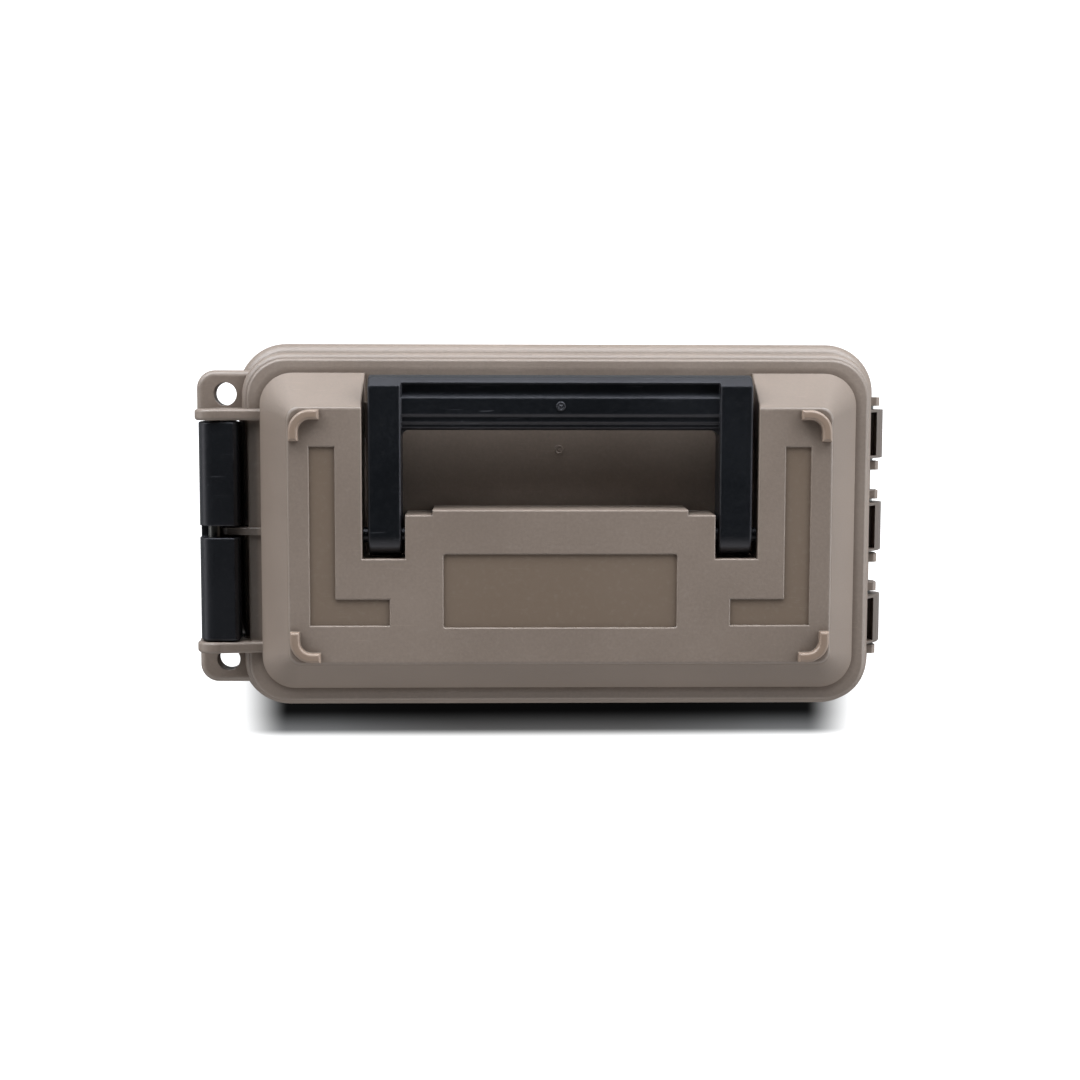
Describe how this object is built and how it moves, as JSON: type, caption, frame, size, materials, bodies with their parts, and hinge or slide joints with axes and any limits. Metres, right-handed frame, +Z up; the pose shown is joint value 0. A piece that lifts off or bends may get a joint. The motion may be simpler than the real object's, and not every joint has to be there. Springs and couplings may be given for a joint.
{
  "type": "plastic ammunition can",
  "caption": "Lidded plastic ammo can: tapered tub, domed hinged lid with a fold-down bail handle, a front draw latch and padlock tabs.",
  "frame": {"origin": "centre of the base's flat resting face", "axes": "+Z up out of the lid, +X towards the hinge end with the latch at -X, +Y towards the side where the folded grip lies"},
  "size_m": [0.285, 0.1508, 0.1828],
  "materials": {
    "tan_plastic": "fine moulded grain, matte",
    "black_plastic": "satin black",
    "steel_pin": "dark phosphated",
    "seal_rubber": "soft black"
  },
  "bodies": {
    "body": {"body_tub": "tan_plastic", "hinge_pin_front": "steel_pin", "hinge_pin_middle": "steel_pin", "hinge_pin_rear": "steel_pin"},
    "lid": {"lid_shell": "tan_plastic", "lid_gasket": "seal_rubber", "latch_pin": "steel_pin", "handle_pin_left": "black_plastic", "handle_pin_right": "black_plastic"},
    "handle": {"carry_handle": "black_plastic"},
    "latch": {"latch_lever": "black_plastic"}
  },
  "joints": [
    {"name": "lid_hinge", "type": "hinge", "parent": "body", "child": "lid", "pos_m": [0.1316, 0, 0.126], "axis": [0, 1, 0], "range_deg": [0, 110]},
    {"name": "handle_fold", "type": "hinge", "parent": "lid", "child": "handle", "pos_m": [0, 0, 0.1715], "axis": [1, 0, 0], "range_deg": [0, 90]},
    {"name": "latch_swing", "type": "hinge", "parent": "lid", "child": "latch", "pos_m": [-0.1385, 0, 0.1536], "axis": [0, 1, 0], "range_deg": [0, 110]}
  ]
}
